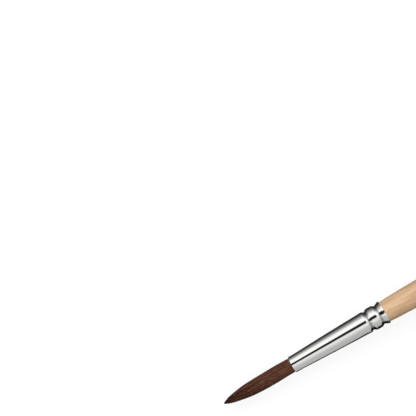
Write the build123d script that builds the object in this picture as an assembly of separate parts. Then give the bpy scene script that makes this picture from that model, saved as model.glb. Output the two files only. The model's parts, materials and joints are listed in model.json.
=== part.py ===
from build123d import *
import math
import os

# Pointed round artist's brush, in millimetres.
#
# The brush lies along X. The origin is on its axis, at the ferrule's mouth. The hair
# points to -X, the handle runs to +X, and +Z is up. Every piece is turned about X,
# apart from the thread that ties the hair. The pieces inside the ferrule are cut to
# the shape of its bore, so they follow it when it changes.

# --- Ferrule: outside outline as (x, radius), from the mouth to the lip ---------------
MOUTH_R = 2.28
LAND = 1.5  # straight land at the mouth
CONE_MIDDLE = (11.8, 2.66)
CONE_END = (22.0, 2.93)
SHOULDER = (23.05, 3.01)
CRIMP_1 = (23.75, 2.59)
BEAD_FRONT = (24.55, 3.12)
BEAD_BACK = (26.20, 3.13)
CRIMP_2 = (27.00, 2.66)
LIP = (28.15, 3.20)
FERRULE_END = (28.55, 3.17)
CORNER_RADII = (0.45, 0.20, 0.80, 0.80, 0.20, 0.25)  # shoulder to lip
WALL = 0.30

# --- Handle --------------------------------------------------------------------------
TENON_START = 14.0  # front face of the tenon, inside the ferrule
TENON_CHAMFER = 0.6
NECK = (31.2, 3.03)  # the neck swells through these two points
SWELL = (35.6, 3.16)
BELLY_R = 3.34  # thickest part, a short straight belly
BELLY = (58.0, 67.0)
TAPER_MIDDLE = (112.0, 2.55)
TAIL = (168.3, 1.70)
BEND_RADII = (30.0, 80.0, 150.0, 150.0, 600.0)  # neck to taper

# --- Hair ----------------------------------------------------------------------------
HAIR_OUT = 21.4  # length of hair outside the ferrule
POINT_R = 0.05  # the very tip
TAPER = (-19.0, 0.94)
TAPER_START = (-15.6, 1.62)
WAIST = (-11.2, 1.99)
FLEX_AT = -3.0  # the hair bends about Z here
FLEX_R = 2.08  # hair radius there
HAIR_MOUTH_R = 1.96
TIED_R = 1.75  # where the thread draws the bundle in
BUTT = (10.5, 1.88)  # cut ends of the hair

FLEX_DEG = 40.0  # how far the point bends each way
FLEX_SPARE_DEG = 3.0  # extra room at the end of the bend
FLEX_GAP = 0.10  # between the ball of the point and its seat

# --- Thread, resin and glue ----------------------------------------------------------
THREAD_R = 0.12
THREAD_TURNS = 4
THREAD_PITCH = 0.26
THREAD_AT = 8.5
PLUG = (3.0, 12.0)  # resin round and behind the cut ends
DISH_DEPTH = 0.35  # hollow in the resin's back face
DISH_R = 8.0
GLUE = (13.2, 14.4)  # glue in front of the tenon and round its chamfer

SKIN = 0.02  # gap between pieces that touch


# --- Sections: half outlines in the XY plane, on the +Y side of the axis ---------------
def section(*outline):
    """Close an outline down to the axis. It is drawn from its -X end to its +X end."""
    start = outline[0] @ 0
    end = outline[-1] @ 1
    ends = [Line(point, (point.X, 0)) for point in (start, end) if point.Y > 0]
    axis = Line((start.X, 0), (end.X, 0))
    return make_face([edge for line in (*outline, *ends, axis) for edge in line.edges()])


def between(start, end):
    """The strip between two planes across the axis."""
    height = 2 * BELLY_R
    return Pos((start + end) / 2, height / 2) * Rectangle(end - start, height)


def ferrule_filled(drop=0.0):
    """The ferrule filled solid, with its outline lowered towards the axis by drop."""
    land = Line((0, MOUTH_R), (LAND, MOUTH_R))
    cone = ThreePointArc((LAND, MOUTH_R), CONE_MIDDLE, CONE_END)
    corners = (CONE_END, SHOULDER, CRIMP_1, BEAD_FRONT, BEAD_BACK, CRIMP_2, LIP, FERRULE_END)
    crimps = FilletPolyline(*corners, radius=CORNER_RADII)
    return section(*(Pos(0, -drop) * line for line in (land, cone, crimps)))


def in_bore(start, end):
    """What fills the ferrule's bore from start to end, clear of the wall."""
    return ferrule_filled(WALL + SKIN) & between(start, end)


def rooted_hair(grow=0.0):
    """The hair bundle inside the ferrule. grow widens it and moves its cut ends back."""
    draw_in = THREAD_AT - THREAD_TURNS * THREAD_PITCH
    let_out = THREAD_AT + THREAD_TURNS * THREAD_PITCH
    corners = ((0, HAIR_MOUTH_R), (LAND, HAIR_MOUTH_R), (draw_in, TIED_R), (let_out, TIED_R), BUTT)
    return section(Pos(grow, grow) * FilletPolyline(*corners, radius=THREAD_PITCH))


def free_hair():
    """The hair bundle outside the ferrule, from its point to the mouth."""
    tip = (-HAIR_OUT, POINT_R)
    return section(Spline(tip, TAPER, TAPER_START, WAIST, (FLEX_AT, FLEX_R), (0, HAIR_MOUTH_R)))


def flex_ball(radius):
    return Pos(FLEX_AT, 0) * Circle(radius)


def tenon():
    """The handle's end inside the ferrule, swaged to the shape of the crimps."""
    plain = in_bore(TENON_START, FERRULE_END[0])
    front_corner = plain.vertices().group_by(Axis.X)[0].sort_by(Axis.Y)[-1]
    return chamfer(front_corner, TENON_CHAMFER)


# --- Pieces --------------------------------------------------------------------------
def ferrule():
    """Drawn metal tube, crimped twice onto the handle."""
    return revolve(ferrule_filled() - ferrule_filled(WALL), Axis.X)


def handle():
    """Turned wood: a tenon held by the crimps, a neck, a belly and a thin round tail."""
    neck = (FERRULE_END[0], FERRULE_END[1] - WALL - SKIN)
    belly = [(x, BELLY_R) for x in BELLY]
    side = FilletPolyline(neck, NECK, SWELL, *belly, TAPER_MIDDLE, TAIL, radius=BEND_RADII)
    tail_x, tail_r = TAIL
    eighth = tail_r * math.sqrt(0.5)
    end = ThreePointArc(TAIL, (tail_x + eighth, eighth), (tail_x + tail_r, 0))
    return revolve(tenon() + section(side, end), Axis.X)


def handle_glue():
    """Glue that the tenon has pushed ahead of it, up to its front face and chamfer."""
    return revolve(in_bore(*GLUE) - Pos(-SKIN, 0) * tenon(), Axis.X)


def tuft_point():
    """The hair that bends: all of it ahead of the flex line, on a ball centred there."""
    forward = free_hair() & between(-HAIR_OUT, FLEX_AT)
    seated = flex_ball(FLEX_R) & between(FLEX_AT, 0)
    return revolve(forward + seated, Axis.X)


def tuft_root():
    """The hair that stays put: the tied butts, and a seat in which the point turns."""
    keep = math.radians(90 - FLEX_DEG - FLEX_SPARE_DEG)
    reach = BUTT[0] - FLEX_AT
    kept = section(Line((FLEX_AT, 0), (BUTT[0], reach * math.tan(keep))))
    hair = rooted_hair() + (free_hair() & between(FLEX_AT, 0))
    return revolve((hair & kept) - flex_ball(FLEX_R + FLEX_GAP), Axis.X)


def tie_thread():
    """Thread wound round the hair bundle."""
    height = THREAD_TURNS * THREAD_PITCH
    start = THREAD_AT - height / 2
    coil = Helix(
        THREAD_PITCH, height, TIED_R + SKIN + THREAD_R, center=(start, 0, 0), direction=(1, 0, 0)
    )
    thread = Plane(coil @ 0, z_dir=coil % 0) * Circle(THREAD_R)
    return sweep(thread, path=coil, is_frenet=True)


def glue_plug():
    """Resin that has soaked round the butts and the thread and set in the bore."""
    half = THREAD_TURNS * THREAD_PITCH / 2 + THREAD_R + SKIN
    pocket_top = Line((-half, 0), (half, 0))
    pocket = section(Pos(THREAD_AT, TIED_R + 2 * THREAD_R + 2 * SKIN) * pocket_top)
    dish = Pos(PLUG[1] - DISH_DEPTH + DISH_R, 0) * Circle(DISH_R)
    return revolve(in_bore(*PLUG) - rooted_hair(SKIN) - pocket - dish, Axis.X)


def main():
    os.makedirs("parts", exist_ok=True)
    for piece in (ferrule, handle, handle_glue, tuft_point, tuft_root, tie_thread, glue_plug):
        export_step(piece(), f"parts/{piece.__name__}.step")


main()
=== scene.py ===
import json
import math

import bpy
import numpy as np
from mathutils import Matrix, Vector

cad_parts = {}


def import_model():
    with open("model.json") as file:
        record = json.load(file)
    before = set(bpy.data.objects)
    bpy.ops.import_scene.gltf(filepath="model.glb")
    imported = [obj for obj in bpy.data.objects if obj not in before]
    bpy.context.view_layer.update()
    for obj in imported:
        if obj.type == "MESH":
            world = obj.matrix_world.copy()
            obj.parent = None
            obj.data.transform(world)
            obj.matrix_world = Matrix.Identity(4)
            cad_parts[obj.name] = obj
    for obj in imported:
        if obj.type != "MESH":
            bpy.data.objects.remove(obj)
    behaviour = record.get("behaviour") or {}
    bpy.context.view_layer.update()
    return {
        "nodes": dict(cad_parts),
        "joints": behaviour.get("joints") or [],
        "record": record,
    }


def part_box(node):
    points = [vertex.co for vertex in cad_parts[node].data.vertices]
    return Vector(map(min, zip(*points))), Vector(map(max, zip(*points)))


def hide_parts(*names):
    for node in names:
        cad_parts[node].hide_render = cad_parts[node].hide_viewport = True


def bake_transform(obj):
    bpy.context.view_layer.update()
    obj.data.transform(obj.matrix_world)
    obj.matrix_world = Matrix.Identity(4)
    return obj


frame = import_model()

# Looks of a pointed round paintbrush. Metres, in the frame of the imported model: the
# origin is at the ferrule's mouth, the hair points to -X and the handle runs to +X.

NODES = frame["nodes"]
MM = 0.001

# --- Where things are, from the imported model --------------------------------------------
HAIR_REACH = 1.02  # the loose hairs reach this much further than the solid bundle
TUFT_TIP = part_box("tuft_point")[0].x
HAIR_TIP = TUFT_TIP * HAIR_REACH
HAIR_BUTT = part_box("tuft_root")[1].x
FERRULE_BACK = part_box("ferrule")[1].x
GRIP = next(m for m in frame["record"]["mounts"] if m["name"] == "handle_grip")
BELLY_FRONT = GRIP["pos_m"][0] - GRIP["dims"]["length_mm"] * MM / 2
HINGE = frame["joints"][0]["pos_m"][0]
CRIMPS = (4.80, 1.55)  # how far the two crimps are ahead of the ferrule's back, in mm
LIP_AT = FERRULE_BACK - 0.4 * MM  # the widest ring of the ferrule's lip
LOCKS = 26  # the loose hairs gather into this many locks


# --- Node trees --------------------------------------------------------------------------
class Tree:
    """Short calls for a shader node tree. Nodes give their first output unless told."""

    def __init__(self, owner):
        owner.use_nodes = True
        self.nodes = owner.node_tree.nodes
        self.links = owner.node_tree.links
        self.nodes.clear()

    def put(self, socket, value):
        if isinstance(value, bpy.types.Node):
            value = value.outputs[0]
        if isinstance(value, bpy.types.NodeSocket):
            self.links.new(value, socket)
        else:
            socket.default_value = value

    def add(self, kind, inputs=None, **settings):
        node = self.nodes.new(kind)
        for key, value in settings.items():
            setattr(node, key, value)
        for key, value in (inputs or {}).items():
            self.put(node.inputs[key], value)
        return node

    def math(self, operation, a, b=0.0, clamp=False):
        return self.add("ShaderNodeMath", {0: a, 1: b}, operation=operation, use_clamp=clamp)

    def mix(self, factor, a, b, blend="MIX"):
        node = self.add("ShaderNodeMix", data_type="RGBA", blend_type=blend)
        self.put(node.inputs["Factor"], factor)
        self.put(node.inputs[6], a)
        self.put(node.inputs[7], b)
        return node.outputs[2]

    def ramp(self, factor, stops, interpolation="LINEAR"):
        node = self.add("ShaderNodeValToRGB", {0: factor})
        node.color_ramp.interpolation = interpolation
        elements = node.color_ramp.elements
        while len(elements) < len(stops):
            elements.new(0.5)
        for element, (place, colour) in zip(elements, stops):
            element.position = place
            element.color = colour if isinstance(colour, tuple) else (colour, colour, colour, 1)
        return node

    def here(self, stretch=(1, 1, 1), turn=(0, 0, 0)):
        """Object coordinates in millimetres, stretched."""
        where = self.add("ShaderNodeTexCoord").outputs["Object"]
        scale = tuple(1000 / s for s in stretch)
        mapping = self.add("ShaderNodeMapping", {"Vector": where, "Scale": scale})
        mapping.inputs["Rotation"].default_value = turn
        return mapping

    def noise(self, where, scale, detail=3.0, rough=0.5, distortion=0.0):
        inputs = {"Vector": where, "Scale": scale, "Detail": detail}
        inputs.update({"Roughness": rough, "Distortion": distortion})
        return self.add("ShaderNodeTexNoise", inputs)

    def band(self, value, low, high, to_low=0.0, to_high=1.0, smooth=True):
        kind = "SMOOTHSTEP" if smooth else "LINEAR"
        inputs = {"Value": value, "From Min": low, "From Max": high}
        inputs.update({"To Min": to_low, "To Max": to_high})
        return self.add("ShaderNodeMapRange", inputs, interpolation_type=kind)

    def bump(self, height, distance, strength=1.0, under=None):
        inputs = {"Height": height, "Distance": distance, "Strength": strength}
        if under is not None:
            inputs["Normal"] = under
        return self.add("ShaderNodeBump", inputs)

    def surface(self, **inputs):
        shader = self.add("ShaderNodeBsdfPrincipled")
        for key, value in inputs.items():
            self.put(shader.inputs[key.replace("_", " ")], value)
        self.add("ShaderNodeOutputMaterial", {"Surface": shader})
        return shader


def material(name):
    made = bpy.data.materials.new(name)
    return made, Tree(made)


def rgb(r, g, b):
    return (r, g, b, 1.0)


def give(obj, made):
    obj.data.materials.clear()
    obj.data.materials.append(made)
    return obj


# --- Materials ---------------------------------------------------------------------------
def metal():
    """Polished nickel plate: faint rings from polishing, hairline scratches, crimps that are rougher
    and darkened with painted shade.
    """
    made, t = material("nickel_plate")
    rings = t.noise(t.here(stretch=(0.10, 6.0, 6.0)), 1.0, 2.0)
    scratches = t.noise(t.here(stretch=(4.0, 0.05, 0.05), turn=(0, 0.15, 0.1)), 1.0, 1.0)
    patches = t.noise(t.here(stretch=(3.0, 1.5, 1.5)), 1.0, 3.0)
    x = t.add("ShaderNodeSeparateXYZ", {0: t.here()}).outputs["X"]
    from_crimp = [t.math("ABSOLUTE", t.math("SUBTRACT", x, FERRULE_BACK / MM - c)) for c in CRIMPS]
    # Where the crimps are: rougher there, and darkened below as painted shade.
    crimp_dull_and_shade = t.math("MAXIMUM", *(t.band(near, 0.05, 0.42, 1.0, 0.0) for near in from_crimp))
    clean = t.mix(patches, rgb(0.86, 0.85, 0.83), rgb(0.90, 0.895, 0.88))
    # Painted shade: the crimp grooves are mixed towards near-black.
    colour = t.mix(t.math("MULTIPLY", crimp_dull_and_shade, 0.72), clean, rgb(0.20, 0.19, 0.17))
    rough = t.math("ADD", t.band(patches, 0.35, 0.7, 0.05, 0.085), t.math("MULTIPLY", crimp_dull_and_shade, 0.12))
    bump = t.bump(rings, 0.00002, 0.06)
    bump = t.bump(t.band(scratches, 0.62, 0.68), 0.00001, 0.05, bump)
    t.surface(Base_Color=colour, Metallic=1.0, Roughness=rough, Normal=bump)
    return made


def wood():
    """Pale beech under clear satin lacquer: long grain, fine pores, short ray flecks."""
    made, t = material("lacquered_beech")
    wander = t.noise(t.here(stretch=(14.0, 2.5, 2.5)), 1.0, 3.0, 0.55)
    grain = t.noise(t.here(stretch=(9.0, 0.55, 0.55)), 1.0, 5.0, 0.6, 0.6)
    fine = t.noise(t.here(stretch=(3.0, 0.13, 0.13)), 1.0, 3.0, 0.6)
    pores = t.band(t.noise(t.here(stretch=(1.5, 0.085, 0.085)), 1.0, 2.0, 0.5), 0.63, 0.72)
    flecks = t.band(t.noise(t.here(stretch=(1.7, 0.20, 0.20)), 1.0, 1.0, 0.4), 0.66, 0.72)
    blush = t.noise(t.here(stretch=(3.2, 0.9, 0.9)), 1.0, 2.0)
    tone = t.mix(t.band(wander, 0.35, 0.65), rgb(0.565, 0.36, 0.198), rgb(0.69, 0.467, 0.285))
    tone = t.mix(t.band(blush, 0.52, 0.68, 0.0, 0.5), tone, rgb(0.69, 0.435, 0.289))
    tone = t.mix(t.band(blush, 0.48, 0.34, 0.0, 0.45), tone, rgb(0.625, 0.455, 0.225))
    tone = t.mix(t.band(grain, 0.42, 0.68, 0.0, 0.62), tone, rgb(0.45, 0.255, 0.13))
    tone = t.mix(t.band(fine, 0.35, 0.75, 0.0, 0.38), tone, rgb(0.47, 0.28, 0.15))
    tone = t.mix(t.math("MULTIPLY", flecks, 0.45), tone, rgb(0.44, 0.24, 0.13))
    tone = t.mix(t.math("MULTIPLY", pores, 0.35), tone, rgb(0.36, 0.19, 0.10))
    bump = t.bump(t.math("SUBTRACT", 1.0, pores), 0.00002, 0.25)
    bump = t.bump(grain, 0.00004, 0.12, bump)
    rough = t.band(wander, 0.3, 0.7, 0.40, 0.50)
    t.surface(
        Base_Color=tone, Roughness=rough, Normal=bump, Specular_IOR_Level=0.35,
        Coat_Weight=0.35, Coat_Roughness=0.34,
    )
    return made


def hair(name, depth=1.0):
    """Dark reddish-brown hair: each strand has its own shade, darker towards the point. A depth below
    1 darkens it with painted shade, for hair under the loose strands.
    """
    made, t = material(name)
    shade = t.add("ShaderNodeAttribute", attribute_name="shade").outputs["Fac"]
    x = t.add("ShaderNodeSeparateXYZ", {0: t.here()}).outputs["X"]
    streak = t.noise(t.here(stretch=(4.0, 0.40, 0.40)), 1.0, 3.0, 0.6, 0.8)
    fleck = t.noise(t.here(stretch=(1.8, 0.30, 0.30)), 1.0, 2.0, 0.5, 0.6)
    tuft = HAIR_TIP / MM
    along = t.band(x, tuft + 0.6, tuft + 17.0, smooth=False)
    dark = t.mix(along, rgb(0.011, 0.0045, 0.0027), rgb(0.034, 0.013, 0.0068))
    light = t.mix(along, rgb(0.058, 0.020, 0.010), rgb(0.155, 0.060, 0.029))
    tone = t.mix(t.band(shade, 0.0, 1.0, 0.1, 0.9, False), dark, light)
    tone = t.mix(t.band(streak, 0.50, 0.66, 0.0, 0.65), tone, rgb(0.150, 0.048, 0.030))
    tone = t.mix(t.band(streak, 0.46, 0.32, 0.0, 0.60), tone, rgb(0.026, 0.010, 0.006))
    tone = t.mix(t.band(fleck, 0.54, 0.68, 0.0, 0.48), tone, rgb(0.16, 0.105, 0.084))
    tip = t.band(x, tuft, tuft + 2.4, 0.85, 0.0)
    tone = t.mix(tip, tone, rgb(0.006, 0.004, 0.003))
    # Painted shade: hair lying under the loose strands is mixed towards near-black.
    if depth < 1.0:
        tone = t.mix(1.0 - depth, tone, rgb(0.010, 0.005, 0.003))
    bump = t.bump(t.noise(t.here(stretch=(2.0, 0.05, 0.05)), 1.0, 2.0), 0.00002, 0.3)
    t.surface(Base_Color=tone, Roughness=0.55, Normal=bump, Specular_IOR_Level=0.13)
    return made


def resin():
    """Set amber resin, slightly cloudy."""
    made, t = material("amber_resin")
    cloud = t.noise(t.here(stretch=(1.2, 1.2, 1.2)), 1.0, 4.0)
    tone = t.mix(t.band(cloud, 0.35, 0.7), rgb(0.36, 0.17, 0.05), rgb(0.52, 0.30, 0.10))
    bump = t.bump(t.noise(t.here(stretch=(0.5, 0.5, 0.5)), 1.0, 2.0), 0.00004, 0.2)
    t.surface(Base_Color=tone, Roughness=t.band(cloud, 0.3, 0.7, 0.15, 0.30), Normal=bump)
    return made


def dried_glue():
    """Dried wood glue, yellowish with small bubbles."""
    made, t = material("dried_glue")
    cells = t.add("ShaderNodeTexVoronoi", {"Vector": t.here(stretch=(0.35, 0.35, 0.35)), "Scale": 1.0})
    bubbles = t.band(cells, 0.10, 0.22, 1.0, 0.0)
    cloud = t.noise(t.here(stretch=(0.8, 0.8, 0.8)), 1.0, 3.0)
    tone = t.mix(t.band(cloud, 0.3, 0.7), rgb(0.70, 0.60, 0.40), rgb(0.84, 0.78, 0.60))
    tone = t.mix(t.math("MULTIPLY", bubbles, 0.4), tone, rgb(0.50, 0.38, 0.20))
    bump = t.bump(t.math("SUBTRACT", 1.0, bubbles), 0.00005, 0.4)
    t.surface(Base_Color=tone, Roughness=t.band(cloud, 0.3, 0.7, 0.30, 0.45), Normal=bump)
    return made


def cotton():
    """Waxed cotton thread: twisted plies and a little fuzz."""
    made, t = material("waxed_thread")
    where = t.here(stretch=(0.09, 0.09, 0.09), turn=(0.6, 0.5, 0.4))
    plies = t.add("ShaderNodeTexWave", {"Vector": where, "Scale": 1.0, "Distortion": 1.5})
    fuzz = t.noise(t.here(stretch=(0.06, 0.06, 0.06)), 1.0, 3.0)
    tone = t.mix(t.band(plies, 0.2, 0.8), rgb(0.52, 0.46, 0.36), rgb(0.78, 0.74, 0.64))
    tone = t.mix(t.band(fuzz, 0.5, 0.8, 0.0, 0.4), tone, rgb(0.62, 0.55, 0.42))
    bump = t.bump(plies, 0.00003, 0.6)
    t.surface(
        Base_Color=tone, Roughness=t.band(fuzz, 0.3, 0.7, 0.5, 0.7), Normal=bump,
        Sheen_Weight=0.3, Sheen_Roughness=0.5,
    )
    return made


# --- Hair --------------------------------------------------------------------------------
def hair_outline():
    """The hair bundle's radius on an even grid along X, bridged over the joint's gap."""
    grid = np.arange(TUFT_TIP, HAIR_BUTT, 0.2 * MM)
    side, inwards = 6 * MM, Vector((0, -1, 0))
    found = []
    for x in grid:
        hits = [NODES[n].ray_cast(Vector((x, side, 0)), inwards) for n in ("tuft_point", "tuft_root")]
        found.append(max([hit[1].y for hit in hits if hit[0]] + [0.0]))
    found = np.array(found)
    gap = (grid > HINGE - 0.1 * MM) & (grid < 0.2 * MM)
    whole = ~gap & (found > 0)
    radius = np.interp(grid, grid[whole], found[whole])
    # Loose hair is fuller than the solid bundle: where, how far to each side, and by how much.
    for place, reach, fuller in ((-1.0, 1.0, 0.03), (-19.9, 3.0, 0.14), (-13.4, 6.0, 0.07)):
        radius += fuller * MM * np.clip(1 - np.abs(grid - place * MM) / (reach * MM), 0, 1)
    return np.where(grid < 0, grid * HAIR_REACH, grid), radius


def sag(x):
    """How far the hair hangs towards -Y: a slight bow, and a point that lifts again."""
    bow, lift = 0.05 * MM, 0.08 * MM
    along_bow = np.clip((x + 1.5 * MM) / (-16 * MM), 0, 1)
    along_lift = np.clip((x + 11.5 * MM) / (-9.9 * MM), 0, 1)
    return bow * (1 - np.cos(2 * math.pi * along_bow)) - lift * along_lift


def mesh_object(name, vertices, faces, shade=None):
    mesh = bpy.data.meshes.new(name)
    mesh.from_pydata(vertices.tolist(), [], faces)
    mesh.polygons.foreach_set("use_smooth", [True] * len(mesh.polygons))
    if shade is not None:
        layer = mesh.attributes.new("shade", "FLOAT", "POINT")
        layer.data.foreach_set("value", shade.astype(np.float32))
    mesh.update()
    made = bpy.data.objects.new(name, mesh)
    bpy.context.scene.collection.objects.link(made)
    return made


def tube_faces(tubes, rings, sides):
    """Faces of closed tubes whose rings follow one another in the vertex list."""
    faces = []
    for tube in range(tubes):
        first = tube * rings * sides
        for ring in range(rings - 1):
            a = first + ring * sides
            b = a + sides
            for k in range(sides):
                m = (k + 1) % sides
                faces.append((a + k, a + m, b + m, b + k))
        last = first + (rings - 1) * sides
        faces.append(tuple(first + k for k in reversed(range(sides))))
        faces.append(tuple(last + k for k in range(sides)))
    return faces


def ripple(rng, u, count, size, turns):
    """A wave along each hair, of random height, length and start. turns counts half waves."""
    height = rng.normal(0, size, count)[:, None]
    rate = rng.uniform(*turns, count)[:, None]
    start = rng.uniform(0, 6.28, count)[:, None]
    return height * np.sin(math.pi * u[None, :] * rate + start)


def hair_ends(rng, count, grid, radius, early):
    """Where each hair ends: on the outline's taper, apart from a few that end early."""
    front = grid < 0
    rising = np.maximum.accumulate(radius[front] / radius[front].max())
    share = rng.uniform(0.02, 1.0, count)
    tip_x = np.interp(share, rising, grid[front]) - rng.uniform(0, 0.5, count) * MM
    tip_x = np.maximum(tip_x, HAIR_TIP + 0.02 * MM)
    widest = share > 0.97
    tip_x[widest] = rng.uniform(HAIR_TIP + 6 * MM, HAIR_TIP + 11 * MM, widest.sum())
    short = rng.random(count) < early
    tip_x[short] = rng.uniform(HAIR_TIP + 5 * MM, HAIR_TIP + 14 * MM, short.sum())
    return tip_x


def strands(name, count, grid, radius, thick, layer, seed, early=0.06):
    """Tapered hairs on the bundle's outline. layer is how deep they lie, as a share."""
    rng = np.random.default_rng(seed)
    rings, sides = 17, 5
    root_x = 1.1 * MM
    tip_x = hair_ends(rng, count, grid, radius, early)
    u = np.linspace(0, 1, rings) ** 0.9
    x = root_x + (tip_x - root_x)[:, None] * u[None, :]
    taper = np.interp(u, [0, 0.6, 0.85, 1.0], [1.0, 0.95, 0.55, 0.12])
    r = thick * rng.uniform(0.75, 1.25, count)[:, None] * taper[None, :]

    # Round the axis: each hair is drawn to the nearest lock, and wanders a little.
    angle = rng.uniform(0, 2 * math.pi, count)
    locks = np.sort(rng.uniform(0, 2 * math.pi, LOCKS))
    gap = (angle[:, None] - locks[None, :] + math.pi) % (2 * math.pi) - math.pi
    nearest = np.abs(gap).argmin(1)
    pull = gap[np.arange(count), nearest]
    gather = 0.5 * u[None, :] ** 1.5
    bend = ripple(rng, u, count, 0.035, (0.6, 2.2))
    sweep = rng.normal(0, 0.05, LOCKS)[nearest][:, None] * u[None, :]
    phi = angle[:, None] - pull[:, None] * gather + bend + sweep

    # Out from the axis: under the outline, and clear of the ferrule inside its mouth.
    depth = layer * rng.random(count) ** 1.6
    lift = rng.normal(0, 0.012, LOCKS)[nearest] * MM
    out = np.interp(x, grid, radius)
    wave = ripple(rng, u, count, 0.010, (2.0, 5.0)) * MM
    rho = (out - r) * (1 - depth[:, None]) + wave + lift[:, None] * np.sin(math.pi * u[None, :])
    inside = np.clip(x / (0.6 * MM), 0, 1)
    rho = np.clip(rho - inside * 0.06 * MM, 0.0, None)
    rho = np.minimum(rho, np.maximum(out - 0.6 * r, 0))

    corner = np.linspace(0, 2 * math.pi, sides, endpoint=False)
    cy = (rho * np.cos(phi) - sag(x))[:, :, None] + r[:, :, None] * np.cos(corner)
    cz = (rho * np.sin(phi))[:, :, None] + r[:, :, None] * np.sin(corner)
    cx = np.repeat(x[:, :, None], sides, axis=2)
    vertices = np.stack([cx, cy, cz], axis=-1).reshape(-1, 3)
    lock_shade = rng.uniform(-0.18, 0.18, LOCKS)[nearest]
    shade = np.clip(rng.beta(2.0, 2.2, count) + lock_shade, 0, 1)
    shade = np.repeat(shade, rings * sides)
    return mesh_object(name, vertices, tube_faces(count, rings, sides), shade)


def core(name, grid, radius, seed):
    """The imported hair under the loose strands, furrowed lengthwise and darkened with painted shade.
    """
    rng = np.random.default_rng(seed)
    sides = 96
    keep = grid > HAIR_TIP + 0.1 * MM
    xs, rs = grid[keep][::2], radius[keep][::2]
    angle = np.linspace(0, 2 * math.pi, sides, endpoint=False)
    furrow = rng.uniform(0.0, 1.0, sides)
    furrow = 0.5 * (furrow + np.roll(furrow, 1))
    free = np.maximum(0.94 * rs - 0.05 * MM, 0.72 * rs)
    out = np.where(xs < 0, free, rs - 0.03 * MM)
    ring = out[:, None] * (1 - 0.035 * furrow[None, :])
    across = ring * np.cos(angle) - sag(xs)[:, None]
    vertices = np.stack([np.repeat(xs[:, None], sides, 1), across, ring * np.sin(angle)], -1)
    vertices = vertices.reshape(-1, 3)
    shade = np.tile(0.35 * furrow, len(xs))  # painted shade: the under layer, varied by its furrows, is darker than the loose hairs
    faces = tube_faces(1, len(xs), sides)
    return mesh_object(name, vertices, [face[::-1] for face in faces], shade)


def tuft():
    grid, radius = hair_outline()
    coat = strands("tuft_hair", 1080, grid, radius, thick=0.055 * MM, layer=0.10, seed=7)
    under = core("tuft_core", grid, radius, seed=11)
    give(coat, hair("brown_hair"))
    # The under layer is darkened with painted shade.
    give(under, hair("brown_hair_painted_shade", 0.55))
    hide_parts("tuft_point", "tuft_root")
    for piece in (coat, under):
        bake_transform(piece)


# --- Studio ------------------------------------------------------------------------------
def floor():
    """A pale table that touches the ferrule's lip and the belly of the handle."""
    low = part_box("ferrule")[0].z
    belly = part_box("handle")[0].z
    slope = (belly - low) / (BELLY_FRONT - LIP_AT)
    half, middle, steps = 1.2, 0.05, 24
    reach = np.linspace(-1, 1, steps + 1)
    points = np.array([(half * x + middle, half * y, 0) for x in reach for y in reach])
    points[:, 2] = low + slope * (points[:, 0] - LIP_AT)
    n = steps + 1
    faces = [
        (i * n + j, (i + 1) * n + j, (i + 1) * n + j + 1, i * n + j + 1)
        for i in range(steps)
        for j in range(steps)
    ]
    table = mesh_object("table", points, faces)
    made, t = material("pale_table")
    cloud = t.noise(t.here(stretch=(60.0, 60.0, 60.0)), 1.0, 2.0)
    tone = t.mix(cloud, rgb(0.115, 0.115, 0.114), rgb(0.125, 0.125, 0.125))
    t.surface(
        Base_Color=tone, Roughness=0.8, Specular_IOR_Level=0.0,
        Emission_Color=rgb(1.0, 1.0, 1.0), Emission_Strength=0.89,
    )
    give(table, made)
    table.visible_glossy = False
    table.visible_diffuse = False


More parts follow.
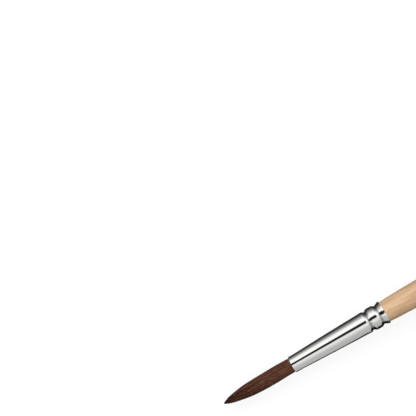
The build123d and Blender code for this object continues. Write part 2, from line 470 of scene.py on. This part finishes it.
def world():
    """A studio of soft boxes and black flags that run along the brush.

    turn is the angle round the brush in degrees, from straight up towards +Y, and along is
    how far a direction points to the handle's end. Ramps can't hold degrees, so their values
    are shares of ramp_deg.
    """
    flag_at, low_at, ramp_deg = 21.5, -124.0, 50.0
    made = bpy.data.worlds.new("studio")
    bpy.context.scene.world = made
    t = Tree(made)
    toward = t.add("ShaderNodeTexCoord").outputs["Generated"]
    split = t.add("ShaderNodeSeparateXYZ", {0: toward})
    along = split.outputs["X"]
    turn = t.math("MULTIPLY", t.math("ARCTAN2", split.outputs["Y"], split.outputs["Z"]), 180 / math.pi)
    boxes = (
        (-124, 0.03), (-117, 0.12), (-107, 0.34), (-97, 0.47), (-80, 0.52), (-64, 0.50),
        (-50, 0.53), (-37, 0.60), (-25, 0.68), (-14, 0.86), (7, 0.92), (37, 1.15),
        (62, 1.12), (77, 0.86), (90, 0.50), (105, 0.28), (120, 0.11), (140, 0.03),
    )
    light = t.ramp(t.band(turn, -180.0, 180.0, smooth=False), [((a + 180) / 360, v) for a, v in boxes])
    # A black flag overhead, wider in front of the brush than behind it.
    half = t.ramp(
        t.band(along, -1.0, 1.0, smooth=False),
        [(0.10, 0.46), (0.20, 0.42), (0.28, 0.25), (0.35, 0.23), (0.50, 0.28), (0.60, 0.25),
         (0.70, 0.14), (0.82, 0.0)],
    )
    off = t.math("ABSOLUTE", t.math("SUBTRACT", turn, flag_at))
    past_flag = t.math("SUBTRACT", off, t.math("MULTIPLY", half, ramp_deg))
    flag = t.band(past_flag, -4.0, 5.0, 0.015, 1.0)
    # A dark edge low down on the -Y side, higher up at the ends of the brush.
    edge = t.ramp(
        t.band(along, -1.0, 1.0, smooth=False),
        [(0.35, 0.62), (0.41, 0.50), (0.425, 0.0), (0.475, 0.06), (0.49, 0.40), (0.505, 0.70),
         (0.95, 0.72)],
    )
    edge_at = t.math("ADD", low_at, t.math("MULTIPLY", edge, ramp_deg))
    past_edge = t.band(t.math("SUBTRACT", turn, edge_at), -14.0, 14.0, 0.02, 1.0)
    skirt = t.math("MAXIMUM", past_edge, t.math("GREATER_THAN", turn, 90.0))
    glow = t.math("MULTIPLY", t.math("MULTIPLY", light, flag), skirt)
    # The studio lights dull surfaces less than it shows in bright ones; the lamps do the rest.
    soft = t.add("ShaderNodeLightPath").outputs["Is Diffuse Ray"]
    strength = t.math("SUBTRACT", 1.0, t.math("MULTIPLY", soft, 0.6))
    t.add(
        "ShaderNodeOutputWorld",
        {"Surface": t.add("ShaderNodeBackground", {"Color": glow, "Strength": strength})},
    )


def lamp(name, where, aim, size, power, colour):
    """A soft rectangle of light that shows in no reflection."""
    light = bpy.data.lights.new(name, "AREA")
    light.shape = "RECTANGLE"
    light.size, light.size_y = size
    light.energy = power
    light.color = colour
    made = bpy.data.objects.new(name, light)
    bpy.context.scene.collection.objects.link(made)
    place = Vector(where)
    turn = (Vector(aim) - place).to_track_quat("-Z", "Y").to_matrix().to_4x4()
    made.matrix_world = Matrix.Translation(place) @ turn
    made.visible_glossy = False


def camera():
    """Almost straight above the mouth of the ferrule, with the brush turned in the view."""
    turn, tilt = math.radians(31.46), math.radians(6.0)
    away, view_width = 180 * MM, 113.2 * MM  # camera to mouth, and what it sees at that distance
    along = Vector((math.cos(tilt), 0, -math.sin(tilt)))
    across = Vector((0, 1, 0))
    forward = Vector((-math.sin(tilt), 0, -math.cos(tilt)))
    right = math.cos(turn) * along - math.sin(turn) * across
    up = math.sin(turn) * along + math.cos(turn) * across
    mouth = Vector((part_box("ferrule")[0].x, 0, 0))
    place = mouth - 22.97 * MM * right + 42.63 * MM * up - away * forward
    data = bpy.data.cameras.new("camera")
    data.sensor_width = 36.0
    data.lens = data.sensor_width * away / view_width
    data.clip_start = 0.005
    data.clip_end = 20.0
    made = bpy.data.objects.new("camera", data)
    bpy.context.scene.collection.objects.link(made)
    made.matrix_world = Matrix.Translation(place) @ Matrix((right, up, -forward)).transposed().to_4x4()
    bpy.context.scene.camera = made


def main():
    camera()
    world()
    lamp("key", (0.02, 0.68, 0.60), (0.03, 0, 0), (0.8, 0.5), 8.2, (0.97, 1.0, 1.10))
    lamp("fill", (0.02, -0.36, 0.82), (0.03, 0, 0), (0.8, 0.5), 2.1, (1.0, 0.99, 0.96))
    lamp("side", (0.04, -0.80, 0.16), (0.04, 0, 0), (0.8, 0.22), 1.05, (1.0, 0.90, 0.80))
    floor()
    give(NODES["ferrule"], metal())
    give(NODES["handle"], wood())
    give(NODES["handle_glue"], dried_glue())
    give(NODES["glue_plug"], resin())
    give(NODES["tie_thread"], cotton())
    tuft()
    bpy.context.scene.view_settings.view_transform = "Standard"


main()
